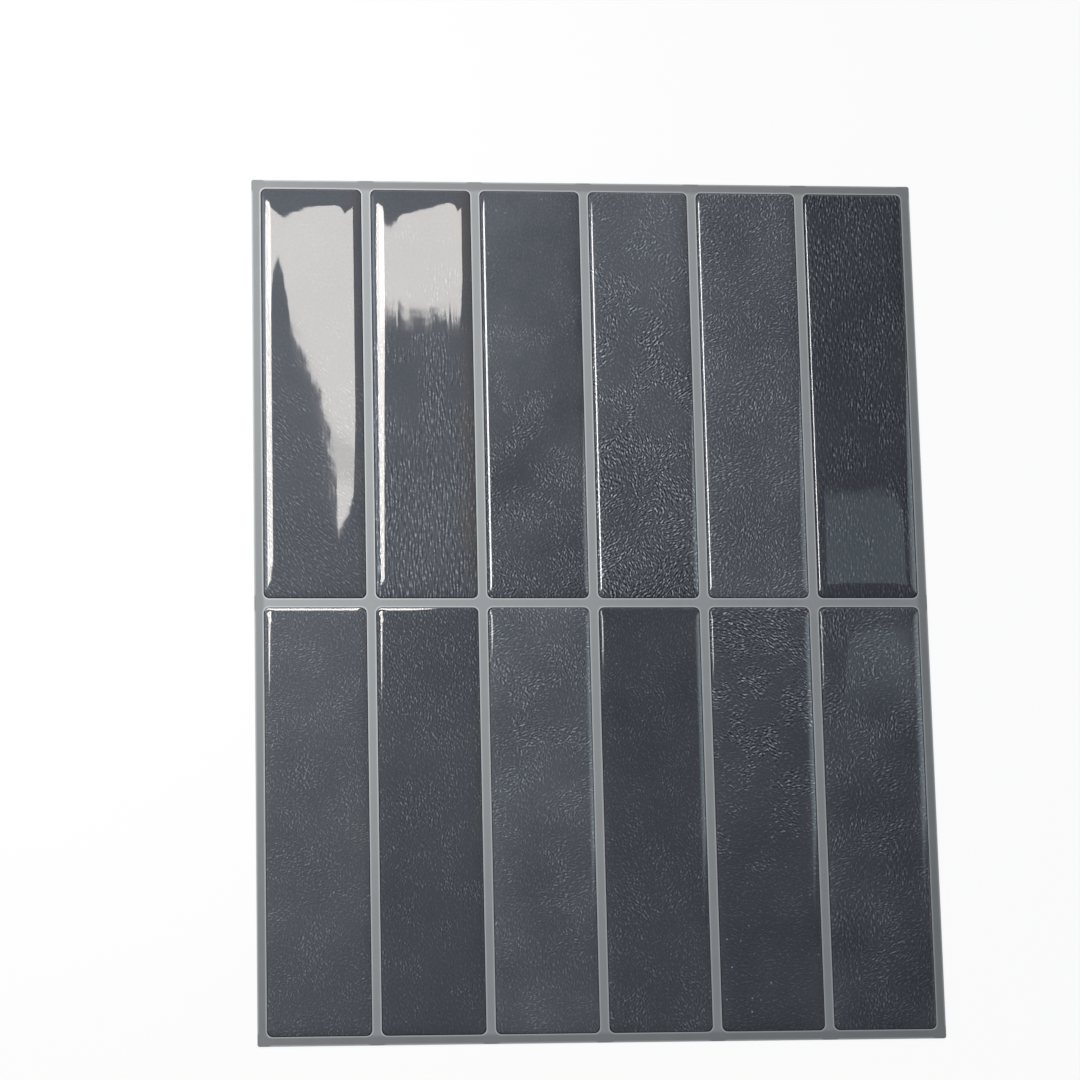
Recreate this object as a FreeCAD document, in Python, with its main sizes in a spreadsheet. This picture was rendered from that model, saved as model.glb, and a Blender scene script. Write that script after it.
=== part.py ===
"""One peel-and-stick backsplash sheet: gel tiles on a grout-coloured vinyl sheet, with its paper liner.

The tiles stand upright, six across and two up. Each is poured resin that levelled itself, so it is flat
on top and falls to the vinyl all round in a meniscus. The sheet lies face up on the plane z = 0, which is
the underside of the liner, with its centre at x = 0, y = 0. Lengths are in millimetres.
"""
import FreeCAD, Part
import os
import Sketcher

doc = FreeCAD.newDocument("BacksplashSheet")

# Driving dimensions
sizes = doc.addObject("Spreadsheet::Sheet", "Sizes")
DIMENSIONS = (
    ("tile_width", 35.5),
    ("tile_length", 147.5),
    ("tile_corner_radius", 2.0),
    ("tile_columns", 6),
    ("tile_rows", 2),
    ("grout_width", 3.2),
    ("border_width", 3.2),
    ("sheet_corner_radius", 0.8),
    ("liner_thickness", 0.12),
    ("vinyl_thickness", 0.5),
    ("gel_height", 1.5),
    ("gel_edge_angle", 50),
    ("contour_rounding_ratio", 0.25),
)
for line, (alias, value) in enumerate(DIMENSIONS, start=1):
    sizes.set(f"A{line}", alias)
    sizes.set(f"B{line}", str(value))
    sizes.setAlias(f"B{line}", alias)
doc.recompute()

# Outline of the whole sheet, as the tiles, the joints between them and the border make it
SHEET_WIDTH = (
    "(Sizes.tile_columns * Sizes.tile_width + (Sizes.tile_columns - 1) * Sizes.grout_width"
    " + 2 * Sizes.border_width)"
)
SHEET_LENGTH = (
    "(Sizes.tile_rows * Sizes.tile_length + (Sizes.tile_rows - 1) * Sizes.grout_width"
    " + 2 * Sizes.border_width)"
)

# Slopes of the gel surface from the vinyl up to the crown, as shares of its slope at the vinyl
CONTOUR_SHARES = (1.0, 0.82, 0.64, 0.48, 0.33, 0.2, 0.1, 0.03)


def gel_slope(share):
    """Expression for the slope of the gel surface at one contour line, in degrees."""
    return f"(Sizes.gel_edge_angle * {share})"


CROWN_SLOPE = gel_slope(CONTOUR_SHARES[-1])
GEL_RISE = f"(sin({gel_slope(1.0)} / 2) - sin({CROWN_SLOPE} / 2))"


def meniscus_run(slope):
    """Expression for how far out on a meniscus a slope is, in units of twice the capillary length."""
    return f"(cos({slope} / 2) + log(tan({slope} / 4)) / 2)"


def contour_inset(share):
    """Expression for how far a contour line lies inside the tile's outline."""
    run = f"({meniscus_run(gel_slope(1.0))} - {meniscus_run(gel_slope(share))})"
    return f"(Sizes.gel_height / {GEL_RISE} * {run})"


def contour_height(share):
    """Expression for the height of a contour line above the vinyl."""
    drop = f"(sin({gel_slope(share)} / 2) - sin({CROWN_SLOPE} / 2))"
    return f"(Sizes.gel_height * (1 - {drop} / {GEL_RISE}))"


def value_of(expression):
    """The number that an expression gives with the sheet's present sizes."""
    result = sizes.evalExpression(expression)
    return float(getattr(result, "Value", result))


def new_body(label):
    """An empty body with a label of its own."""
    body = doc.addObject("PartDesign::Body", label)
    body.Label = label
    return body


def rounded_rectangle(body, name, width, length, radius):
    """A sketch on the body's XY plane of a centred rectangle with rounded corners, bound to expressions."""
    sketch = body.newObject("Sketcher::SketchObject", name)
    plane = next(f for f in body.Origin.OriginFeatures if f.Role == "XY_Plane")
    sketch.AttachmentSupport = [(plane, "")]
    sketch.MapMode = "FlatFace"
    half_width = value_of(width) / 2
    half_length = value_of(length) / 2
    corner = value_of(radius)
    inner_x = half_width - corner
    inner_y = half_length - corner
    point = FreeCAD.Vector
    up = point(0, 0, 1)
    sides = (
        (point(-inner_x, -half_length), point(inner_x, -half_length)),
        (point(half_width, -inner_y), point(half_width, inner_y)),
        (point(inner_x, half_length), point(-inner_x, half_length)),
        (point(-half_width, inner_y), point(-half_width, -inner_y)),
    )
    corners = ((inner_x, -inner_y), (inner_x, inner_y), (-inner_x, inner_y), (-inner_x, -inner_y))
    quarter = value_of("pi / 2")
    for side, (start, end) in enumerate(sides):
        sketch.addGeometry(Part.LineSegment(start, end), False)
        turn = (side - 1) * quarter
        circle = Part.Circle(point(*corners[side]), up, corner)
        sketch.addGeometry(Part.ArcOfCircle(circle, turn, turn + quarter), False)
    start_point, end_point = 1, 2
    for side in range(4):
        line = 2 * side
        arc = line + 1
        next_line = (line + 2) % 8
        sketch.addConstraint(Sketcher.Constraint("Tangent", line, end_point, arc, start_point))
        sketch.addConstraint(Sketcher.Constraint("Tangent", arc, end_point, next_line, start_point))
        direction = "Vertical" if side % 2 else "Horizontal"
        sketch.addConstraint(Sketcher.Constraint(direction, line))
    for arc in (3, 5, 7):
        sketch.addConstraint(Sketcher.Constraint("Equal", 1, arc))
    bottom, right, top, left = 0, 2, 4, 6
    origin = -1
    sketch.addConstraint(
        Sketcher.Constraint("Symmetric", bottom, start_point, top, start_point, origin, start_point)
    )
    bound = (
        (Sketcher.Constraint("DistanceX", left, start_point, right, start_point, 2 * half_width), width),
        (Sketcher.Constraint("DistanceY", bottom, start_point, top, start_point, 2 * half_length), length),
        (Sketcher.Constraint("Radius", 1, corner), radius),
    )
    for constraint, expression in bound:
        index = sketch.addConstraint(constraint)
        sketch.setExpression(f"Constraints[{index}]", expression)
    return sketch


def sheet_layer(label, thickness, bottom):
    """A flat layer with the whole sheet's outline, at the height that an expression gives."""
    body = new_body(label)
    outline = rounded_rectangle(
        body, f"{label}_outline", SHEET_WIDTH, SHEET_LENGTH, "Sizes.sheet_corner_radius"
    )
    pad = body.newObject("PartDesign::Pad", f"{label}_pad")
    pad.Profile = outline
    pad.setExpression("Length", thickness)
    body.setExpression("Placement.Base.z", bottom)
    return body


def gel_contour(body, number, share):
    """One contour line of the gel surface. The lines round out towards the crown."""
    inset = contour_inset(share)
    sketch = rounded_rectangle(
        body,
        f"{body.Name}_contour_{number}",
        f"(Sizes.tile_width - 2 * {inset})",
        f"(Sizes.tile_length - 2 * {inset})",
        f"(Sizes.tile_corner_radius + Sizes.contour_rounding_ratio * {inset})",
    )
    sketch.setExpression("AttachmentOffset.Base.z", contour_height(share))
    return sketch


def gel_tile(label):
    """A poured tile: the loft through its contour lines, from the vinyl up to the flat crown."""
    body = new_body(label)
    contours = [gel_contour(body, n, share) for n, share in enumerate(CONTOUR_SHARES)]
    loft = body.newObject("PartDesign::AdditiveLoft", f"{label}_loft")
    loft.Profile = contours[0]
    loft.Sections = contours[1:]
    loft.Ruled = True
    return body


def copy_of(master, label):
    """A further tile from the same mould as the first one."""
    body = new_body(label)
    clone = body.newObject("PartDesign::FeatureBase", f"{label}_copy")
    clone.BaseFeature = master
    body.Tip = clone
    return body


def place_tile(body, row, column):
    """Sets a tile on the vinyl. Row 1 is at the top edge and column 1 at the left edge."""
    pitch_x = "(Sizes.tile_width + Sizes.grout_width)"
    pitch_y = "(Sizes.tile_length + Sizes.grout_width)"
    body.setExpression("Placement.Base.x", f"({column} - (Sizes.tile_columns + 1) / 2) * {pitch_x}")
    body.setExpression("Placement.Base.y", f"((Sizes.tile_rows + 1) / 2 - {row}) * {pitch_y}")
    body.setExpression("Placement.Base.z", "Sizes.liner_thickness + Sizes.vinyl_thickness")


# Release paper that peels off the adhesive, and the grout-coloured vinyl above it
parts = [
    sheet_layer("release_liner", "Sizes.liner_thickness", "0"),
    sheet_layer("grout_vinyl_sheet", "Sizes.vinyl_thickness", "Sizes.liner_thickness"),
]

# Gel tiles, row by row
first_tile = None
for row in range(1, round(value_of("Sizes.tile_rows")) + 1):
    for column in range(1, round(value_of("Sizes.tile_columns")) + 1):
        label = f"gel_tile_row{row}_column{column}"
        tile = copy_of(first_tile, label) if first_tile else gel_tile(label)
        first_tile = first_tile or tile
        place_tile(tile, row, column)
        parts.append(tile)

doc.recompute()

# Every object has to be sound before anything is written
for item in doc.Objects:
    if "Invalid" in item.State or "Error" in item.State:
        raise RuntimeError(f"{item.Label} did not build: {item.State}")
os.makedirs("parts", exist_ok=True)
for part in parts:
    shape = part.Shape
    if shape.isNull() or not shape.isValid() or len(shape.Solids) != 1:
        raise RuntimeError(f"{part.Label} is not one valid solid")
for part in parts:
    part.Shape.exportStep(f"parts/{part.Label}.step")
    print(f"{part.Label}: {part.Shape.Volume:.1f} mm3, top at {part.Shape.BoundBox.ZMax:.3f} mm")
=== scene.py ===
"""Looks of one peel-and-stick backsplash sheet: slate gel tiles, grout vinyl, release liner and a studio.

Places and sizes are in metres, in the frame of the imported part, apart from those of prints and grains, whose
classes give them in millimetres. The sheet lies face up on z = 0 with its centre at x = 0, y = 0. Row 1 of
the tiles is the upper row (+Y) and column 1 is the left one (-X).
"""

import logging
import math
from dataclasses import dataclass
from enum import Enum
from typing import Dict, List, Optional, Sequence, Tuple, Union

import bpy
from mathutils import Matrix, Vector, noise


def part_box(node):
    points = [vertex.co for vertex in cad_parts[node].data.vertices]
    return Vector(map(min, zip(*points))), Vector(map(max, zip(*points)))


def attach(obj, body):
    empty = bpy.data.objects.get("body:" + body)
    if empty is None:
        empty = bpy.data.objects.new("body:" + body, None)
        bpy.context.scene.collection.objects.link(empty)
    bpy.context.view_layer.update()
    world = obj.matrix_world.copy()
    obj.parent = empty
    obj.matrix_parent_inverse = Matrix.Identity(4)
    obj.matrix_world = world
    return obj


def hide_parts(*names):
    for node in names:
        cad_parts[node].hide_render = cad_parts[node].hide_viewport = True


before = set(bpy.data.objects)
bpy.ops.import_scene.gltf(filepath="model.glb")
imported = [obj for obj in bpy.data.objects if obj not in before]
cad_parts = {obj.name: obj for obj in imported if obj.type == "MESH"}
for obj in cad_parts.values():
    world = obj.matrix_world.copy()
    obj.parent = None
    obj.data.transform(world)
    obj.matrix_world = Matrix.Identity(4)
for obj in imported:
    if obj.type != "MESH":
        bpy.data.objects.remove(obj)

log = logging.getLogger("backsplash_sheet")

MM = 0.001
BODY = "root"

Socket = bpy.types.NodeSocket
Feed = Union[float, Sequence[float], Socket]
Colour = Tuple[float, float, float]
Place = Tuple[float, float, float]
Pair = Tuple[float, float]
Outline = Tuple[Pair, ...]
Tiles = Dict[Tuple[int, int], bpy.types.Object]

# Corner radius of a tile, in millimetres
TILE_CORNER = 2.0

# Level about which every noise and relief swings
MIDDLE_LEVEL = 0.5

# Numbered sockets of a mix of two colours
MIX_SHARE, MIX_FIRST, MIX_SECOND, MIX_RESULT = 0, 6, 7, 2


def rgba(colour: Colour) -> Tuple[float, float, float, float]:
    """The colour with an alpha of one, as colour sockets take it."""
    return (*colour, 1.0)


class Bench:
    """Adds shader nodes to one node tree and links them."""

    def __init__(self, tree: bpy.types.NodeTree) -> None:
        """Empties the tree and starts on it.

        Args:
            tree: Node tree of a material or of the world.
        """
        tree.nodes.clear()
        self.tree = tree

    def feed(self, socket: Socket, value: Feed) -> None:
        """Links a socket, or sets its value.

        Args:
            socket: Input to fill.
            value: Another node's output, or a plain value.
        """
        if isinstance(value, bpy.types.NodeSocket):
            self.tree.links.new(value, socket)
        else:
            socket.default_value = value

    def node(self, kind: str, feeds: Optional[Dict] = None, **settings: object) -> bpy.types.Node:
        """Adds one node.

        Args:
            kind: Blender's name for the node type.
            feeds: What goes into its inputs, by name or number.
            settings: Its properties, set before the inputs.

        Returns:
            The new node.
        """
        made = self.tree.nodes.new(kind)
        for name, value in settings.items():
            setattr(made, name, value)
        for socket, value in (feeds or {}).items():
            self.feed(made.inputs[socket], value)
        return made

    def math(self, operation: str, first: Feed, second: Feed = 0.0) -> Socket:
        """The result of a sum on one or two numbers.

        Args:
            operation: Blender's name for the operation.
            first: Left operand.
            second: Right operand, where there is one.

        Returns:
            The result's socket.
        """
        return self.node("ShaderNodeMath", {0: first, 1: second}, operation=operation).outputs[0]

    def chain(self, operation: str, parts: Sequence[Feed]) -> Socket:
        """Joins parts by one operation, from the first to the last.

        Args:
            operation: Blender's name for the operation.
            parts: Two or more numbers.

        Returns:
            The result's socket.
        """
        result = parts[0]
        for part in parts[1:]:
            result = self.math(operation, result, part)
        return result

    def total(self, *parts: Feed) -> Socket:
        """The sum of all the parts."""
        return self.chain("ADD", parts)

    def product(self, *parts: Feed) -> Socket:
        """The product of all the parts."""
        return self.chain("MULTIPLY", parts)

    def swing(self, level: Feed, reach: float) -> Socket:
        """A noise's level as a swing about nought, which spans the reach."""
        return self.product(self.math("SUBTRACT", level, MIDDLE_LEVEL), reach)

    def vector(self, operation: str, first: Feed, second: Feed) -> Socket:
        """The result of a sum on two vectors.

        Args:
            operation: Blender's name for the operation.
            first: Left operand.
            second: Right operand.

        Returns:
            The result's socket.
        """
        return self.node("ShaderNodeVectorMath", {0: first, 1: second}, operation=operation).outputs[0]

    def turned(self, place: Feed, angle: Feed) -> Socket:
        """The place turned about the vertical axis by an angle in radians."""
        feeds = {"Vector": place, "Angle": angle}
        return self.node("ShaderNodeVectorRotate", feeds, rotation_type="Z_AXIS").outputs[0]

    def split(self, place: Feed) -> bpy.types.Node:
        """A node with the outputs X, Y and Z of a vector."""
        return self.node("ShaderNodeSeparateXYZ", {0: place})

    def ramp(self, value: Feed, start: Feed, end: Feed, low: Feed = 0.0, high: Feed = 1.0) -> Socket:
        """A smooth rise from low to high as the value goes from start to end.

        Args:
            value: What is mapped.
            start: Value that gives low.
            end: Value that gives high. It may lie below start.
            low: Result at and before start.
            high: Result at and past end.

        Returns:
            The result's socket.
        """
        feeds = {"Value": value, "From Min": start, "From Max": end, "To Min": low, "To Max": high}
        return self.node("ShaderNodeMapRange", feeds, interpolation_type="SMOOTHSTEP").outputs["Result"]

    def noise(self, place: Feed, reach: float, detail: float = 1.0, rough: float = 0.5) -> bpy.types.Node:
        """A soft noise in the plane.

        Args:
            place: Where it is read.
            reach: Size of one lump, in the units of place.
            detail: How many finer layers it has.
            rough: How strong the finer layers are.

        Returns:
            The noise node, with the outputs Fac and Color.
        """
        feeds = {"Vector": place, "Scale": 1.0 / reach, "Detail": detail, "Roughness": rough}
        return self.node("ShaderNodeTexNoise", feeds, noise_dimensions="2D")

    def cells(self, place: Feed, reach: float) -> bpy.types.Node:
        """Scattered cells in the plane, with the outputs Distance, Color and Position."""
        feeds = {"Vector": place, "Scale": 1.0 / reach, "Randomness": 1.0}
        return self.node("ShaderNodeTexVoronoi", feeds, voronoi_dimensions="2D", feature="F1")

    def blend(self, share: Feed, first: Feed, second: Feed) -> Socket:
        """A blend of two colours.

        Args:
            share: How much of the second colour goes in.
            first: Colour at a share of nought.
            second: Colour at a share of one.

        Returns:
            The blended colour's socket.
        """
        feeds = {MIX_SHARE: share, MIX_FIRST: first, MIX_SECOND: second}
        made = self.node("ShaderNodeMix", feeds, data_type="RGBA", blend_type="MIX", clamp_factor=True)
        return made.outputs[MIX_RESULT]

    def bump(self, height: Feed, depth: float) -> Socket:
        """A normal that follows a height between nought and one, for a relief of the given depth."""
        feeds = {"Height": height, "Distance": depth, "Strength": 1.0}
        return self.node("ShaderNodeBump", feeds).outputs["Normal"]

    def finish(self, shader: Socket, output: str = "ShaderNodeOutputMaterial") -> None:
        """Ends the tree in its output node."""
        self.node(output, {"Surface": shader})


def new_material(name: str) -> Tuple[bpy.types.Material, Bench]:
    """Makes an empty node material.

    Args:
        name: Name of the material.

    Returns:
        The material, and the bench on which its nodes are made.
    """
    material = bpy.data.materials.new(name)
    material.use_nodes = True
    return material, Bench(material.node_tree)


def millimetres(bench: Bench, centre: Vector) -> Socket:
    """Makes the nodes that say where a point lies on the sheet.

    Args:
        bench: Where the nodes are made.
        centre: The point that is measured from.

    Returns:
        The place in millimetres from the centre.
    """
    place = bench.node("ShaderNodeTexCoord").outputs["Object"]
    from_centre = bench.vector("SUBTRACT", place, tuple(centre))
    return bench.vector("DIVIDE", from_centre, (MM, MM, MM))


class Flow(Enum):
    """Which way the bristle marks of a print run, as degrees from the tile's length."""

    UPRIGHT = 0.0
    LEANING_LEFT = 38.0
    LEANING_RIGHT = -38.0
    STEEP_RIGHT = -16.0
    LEVEL = 78.0


@dataclass(frozen=True)
class TilePrint:
    """How the slate print of one tile differs from that of its neighbours.

    Attributes:
        tone: Lightness of the ground, from the shade at nought to the light at one.
        flow: Which way the bristle marks run.
        length: Length of a bristle mark, in millimetres.
        streaks: How strong the marks are.
        gather: How much the marks gather at the tile's top, or at its foot where it is below nought.
        cloud: How much the ground's lightness drifts.
        swirl: How far the marks turn from their flow to either side, in radians.
        warmth: How strong the painted brown reflection on the right-hand side is, and how far it comes in.
        bare: How much of the tile has few marks.
        fall: How much lighter the ground is at the tile's top than in its middle.
        specks: How bright the specks are beside those of a usual tile.
    """

    tone: float
    flow: Flow
    length: float
    streaks: float
    gather: float
    cloud: float
    swirl: float = 0.6
    warmth: float = 0.0
    bare: float = 0.0
    fall: float = 0.0
    specks: float = 1.0


@dataclass(frozen=True)
class SlatePrint:
    """The slate picture under the gel: a mottled ground with short bristle marks, each with a painted
    highlight on one side and painted shade on the other. Lengths in millimetres.

    Hairs are the fine marks all over, and dashes and specks are single ones. A reach is the size of one lump
    of a noise, and a cell is how far apart single marks are. An edge holds the two levels between which
    something sets in, and a gain with two values is its strength at both. A core is the share of a mark that
    has full strength. The edge of a dash, and the place and the edge of its shadow, are in widths of a dash.
    """

    shade: Colour = (0.0140, 0.0200, 0.0300)
    light: Colour = (0.250, 0.268, 0.301)
    seed_step: Pair = (137.0, 71.0)
    swirl_reach: float = 24.0
    swirl_span: float = 10.0
    side_share: float = 0.6
    side_edge: Pair = (0.44, 0.56)
    hair_gap: float = 0.56
    hair_shadow: float = 0.46
    hair_slip: float = 0.3
    hair_edge: Pair = (0.06, 0.34)
    painted_highlight_gain: float = 0.80
    painted_shade_gain: float = 0.30
    flicker_reach: float = 1.2
    flicker_edge: Pair = (0.40, 0.68)
    flicker_gain: Pair = (0.12, 2.4)
    patch_reach: float = 13.0
    patch_edge: Pair = (0.36, 0.64)
    gather_edge: Pair = (-0.1, 1.1)
    calm_least: float = 0.03
    calm_rise: float = 0.55
    cloud_reach: float = 26.0
    cloud_gain: float = 1.6
    mottle_reach: float = 0.9
    mottle_gain: float = 0.5
    dash_cells: Tuple[float, ...] = (1.6, 3.7)
    dash_width: float = 0.14
    dash_edge: float = 1.5
    dash_core: float = 0.4
    dash_share: float = 0.45
    dash_swing: float = 4.4
    dash_chance: Pair = (0.5, 1.0)
    dash_flicker: Pair = (0.4, 0.6)
    dash_gain: float = 0.9
    shadow_place: float = 2.2
    shadow_edge: float = 1.6
    shadow_gain: float = 0.3
    speck_cell: float = 5.0
    speck_size: float = 0.34
    speck_core: float = 0.3
    speck_chance: Pair = (0.55, 0.95)
    speck_gain: float = 0.5
    sparkle_edge: Pair = (0.42, 0.58)
    sparkle_gain: Pair = (0.3, 1.7)
    # Painted brown reflection at the right-hand side of every tile, strongest on the warm ones
    reflected_brown: Colour = (0.130, 0.112, 0.104)
    brown_edge: Pair = (15.0, 17.0)
    brown_spread: float = 6.0
    brown_sway: float = 16.0
    brown_least: float = 0.15
    brown_gain: float = 0.35
    # Painted shade along each tile's outline, at the foot of the gel's edge
    rim_shade: Colour = (0.010, 0.012, 0.016)
    rim_width: float = 0.42
    rim_core: float = 0.3

    def hairs(self, bench: Bench, place: Socket, angle: float, length: float) -> Socket:
        """Fine bristle marks all over, each with a painted highlight on one side and painted shade on the
        other.

        Args:
            bench: Where the nodes are made.
            place: Place on the print.
            angle: How far the marks lean, in radians.
            length: How long a mark is.

        Returns:
            Above nought on the painted highlight side and below it on the painted shade side.
        """
        gap, shadow = self.hair_gap, self.hair_shadow
        combed = bench.vector("MULTIPLY", bench.turned(place, angle), (1.0 / gap, 1.0 / length, 0.0))
        step = (shadow / gap, self.hair_slip * shadow / length, 0.0)
        beside = bench.vector("ADD", combed, step)
        levels = [bench.noise(spot, 1.0, detail=0.0).outputs["Fac"] for spot in (combed, beside)]
        return bench.math("SUBTRACT", *levels)

    def emboss(self, bench: Bench, place: Socket, look: TilePrint) -> Socket:
        """Bristle marks that lean to one side or the other of their flow, by soft patches.

        Args:
            bench: Where the nodes are made.
            place: Place on the print.
            look: What is special to this tile.

        Returns:
            Above nought on the painted highlights of the marks and below it on their painted shade.
        """
        lean = math.radians(look.flow.value)
        field = bench.noise(place, self.swirl_reach, detail=0.0).outputs["Color"]
        drift = bench.vector("SUBTRACT", field, (MIDDLE_LEVEL,) * 3)
        stir = (self.swirl_span * look.swirl,) * 3
        flowing = bench.vector("ADD", place, bench.vector("MULTIPLY", drift, stir))
        patches = bench.noise(place, self.swirl_reach * self.side_share).outputs["Fac"]
        side = bench.ramp(patches, *self.side_edge)
        leaning_on = self.hairs(bench, flowing, -lean - look.swirl, look.length)
        leaning_back = self.hairs(bench, flowing, -lean + look.swirl, look.length)
        change = bench.math("SUBTRACT", leaning_back, leaning_on)
        return bench.total(leaning_on, bench.product(change, side))

    def dashes(self, bench: Bench, place: Socket, cell: float, look: TilePrint) -> Tuple[Socket, Socket]:
        """Short marks, one in each cell, turned by a slow field.

        Args:
            bench: Where the nodes are made.
            place: Place on the print.
            cell: How far apart the marks are.
            look: What is special to this tile.

        Returns:
            The painted highlight side and the painted shadow side of the marks, each from nought to one.
        """
        scatter = bench.cells(place, cell)
        middle = scatter.outputs["Position"]
        field = bench.noise(middle, self.swirl_reach).outputs["Fac"]
        turn = bench.swing(field, self.dash_swing * look.swirl)
        angle = bench.total(turn, math.radians(look.flow.value))
        apart = bench.split(bench.turned(bench.vector("SUBTRACT", place, middle), angle))
        across = apart.outputs["X"]
        length = self.dash_share * look.length
        width, core = self.dash_width, self.dash_width * self.dash_core
        along = bench.ramp(bench.math("ABSOLUTE", apart.outputs["Y"]), length, length * self.dash_core)
        # Each dash is a painted highlight with a painted shadow beside it
        lit = bench.ramp(bench.math("ABSOLUTE", across), width * self.dash_edge, core)
        beside = bench.math("ABSOLUTE", bench.math("SUBTRACT", across, width * self.shadow_place))
        dark = bench.ramp(beside, width * self.shadow_edge, core)
        chance = bench.split(scatter.outputs["Color"]).outputs["X"]
        strength = bench.ramp(chance, *self.dash_chance)
        return bench.product(lit, along, strength), bench.product(dark, along, strength)

    def scattered(self, bench: Bench, place: Socket, flicker: Socket, look: TilePrint) -> Socket:
        """The dashes of every size together.

        Args:
            bench: Where the nodes are made.
            place: Place on the print.
            flicker: Level of the noise that breaks up the marks.
            look: What is special to this tile.

        Returns:
            Above nought on the painted highlights of the dashes and below it on their painted shadows.
        """
        dashes = 0.0
        for cell in self.dash_cells:
            lit_side, dark_side = self.dashes(bench, place, cell, look)
            dashes = bench.total(dashes, lit_side, bench.product(dark_side, -self.shadow_gain))
        return bench.product(dashes, self.dash_gain, bench.ramp(flicker, *self.dash_flicker))

    def sparkle(self, bench: Bench, place: Socket, patch: Socket) -> Socket:
        """Bright specks, one in some of the cells, and brighter where the marks gather.

        Args:
            bench: Where the nodes are made.
            place: Place on the print.
            patch: Level of the noise that gathers the marks.

        Returns:
            How bright the specks are.
        """
        specks = bench.cells(place, self.speck_cell)
        distance = bench.product(specks.outputs["Distance"], self.speck_cell)
        speck = bench.ramp(distance, self.speck_size, self.speck_size * self.speck_core)
        rare = bench.ramp(bench.split(specks.outputs["Color"]).outputs["Y"], *self.speck_chance)
        return bench.product(speck, rare, bench.ramp(patch, *self.sparkle_edge, *self.sparkle_gain))

    def with_brown_reflection(self, bench: Bench, slate: Socket, across: Socket, cloud: Socket, warmth: float) -> Socket:
        """The print with a painted brown reflection that comes in at the tile's right-hand side.

        Args:
            bench: Where the nodes are made.
            slate: Colour of the print.
            across: How far a point lies to the right of the tile's middle.
            cloud: Level of the noise that sways the painted reflection.
            warmth: How strong the painted brown reflection is on this tile.

        Returns:
            The colour with the painted reflection.
        """
        start, end = self.brown_edge
        most = self.brown_least + self.brown_gain * warmth
        rightward = bench.total(across, bench.swing(cloud, self.brown_sway))
        brown_reflection_share = bench.ramp(rightward, start - self.brown_spread * warmth, end, 0.0, most)
        return bench.blend(brown_reflection_share, slate, rgba(self.reflected_brown))

    def paint(
        self, bench: Bench, centre: Vector, half_length: float, look: TilePrint, seed: int
    ) -> Tuple[Socket, Socket, Socket, Socket]:
        """Makes the nodes of one tile's print.

        Args:
            bench: Where the nodes are made.
            centre: Middle of the tile.
            half_length: Half of the tile's length, in millimetres.
            look: What is special to this tile.
            seed: Number that sets this print apart from the others.

        Returns:
            The print's colour, its relief, its place in the noises, and how near the tile's outline is.
        """
        spot = millimetres(bench, centre)
        step_x, step_y = self.seed_step
        place = bench.vector("ADD", spot, (step_x * (seed + 1), step_y * (seed + 2), 0.0))
        apart = bench.split(spot)
        rise = bench.math("DIVIDE", apart.outputs["Y"], half_length)

        emboss = self.emboss(bench, place, look)
        flicker = bench.noise(place, self.flicker_reach, detail=2.0, rough=0.6).outputs["Fac"]
        faint, full = self.hair_edge
        flicking = bench.ramp(flicker, *self.flicker_edge, *self.flicker_gain)
        # The print's bristle pattern, with a painted highlight on the lit side of each mark and painted shade
        # on the other
        lit = bench.product(bench.ramp(emboss, faint, full), flicking)
        dark = bench.ramp(emboss, -faint, -full)
        hair = bench.total(bench.product(lit, self.painted_highlight_gain), bench.product(dark, -self.painted_shade_gain))

        patch = bench.noise(place, self.patch_reach, detail=2.0, rough=0.6).outputs["Fac"]
        patchy = bench.ramp(patch, *self.patch_edge)
        where = bench.total(patchy, bench.product(rise, look.gather), -look.bare)
        calm = self.calm_least + self.calm_rise * max(1.0 - abs(look.gather), 0.0)
        strength = bench.product(bench.ramp(where, *self.gather_edge, calm, 1.0), look.streaks)

        cloud = bench.noise(place, self.cloud_reach, detail=3.0, rough=0.55).outputs["Fac"]
        mottle = bench.noise(place, self.mottle_reach, detail=3.0, rough=0.65).outputs["Fac"]
        ground = bench.total(
            look.tone,
            bench.product(rise, look.fall),
            bench.swing(cloud, look.cloud * self.cloud_gain),
            bench.swing(mottle, look.tone * self.mottle_gain),
        )
        scattered = self.scattered(bench, place, flicker, look)
        sparkle = self.sparkle(bench, place, patch)
        marks = bench.product(bench.total(hair, scattered), strength)
        share = bench.total(ground, marks, bench.product(sparkle, self.speck_gain * look.specks))

        span = tuple(high - low for low, high in zip(self.shade, self.light))
        lightened = bench.vector("MULTIPLY", bench.math("MAXIMUM", share, 0.0), span)
        slate = bench.vector("ADD", lightened, self.shade)
        reflection_warmed = self.with_brown_reflection(bench, slate, apart.outputs["X"], cloud, look.warmth)
        # Painted shade along the tile's outline; the same mask also dulls the gloss there
        inset = bench.node("ShaderNodeAttribute", attribute_name="edge_inset").outputs["Fac"]
        edge = bench.ramp(inset, self.rim_width * MM, self.rim_core * self.rim_width * MM)
        colour = bench.blend(edge, reflection_warmed, rgba(self.rim_shade))
        return colour, bench.total(MIDDLE_LEVEL, marks), place, edge


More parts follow.
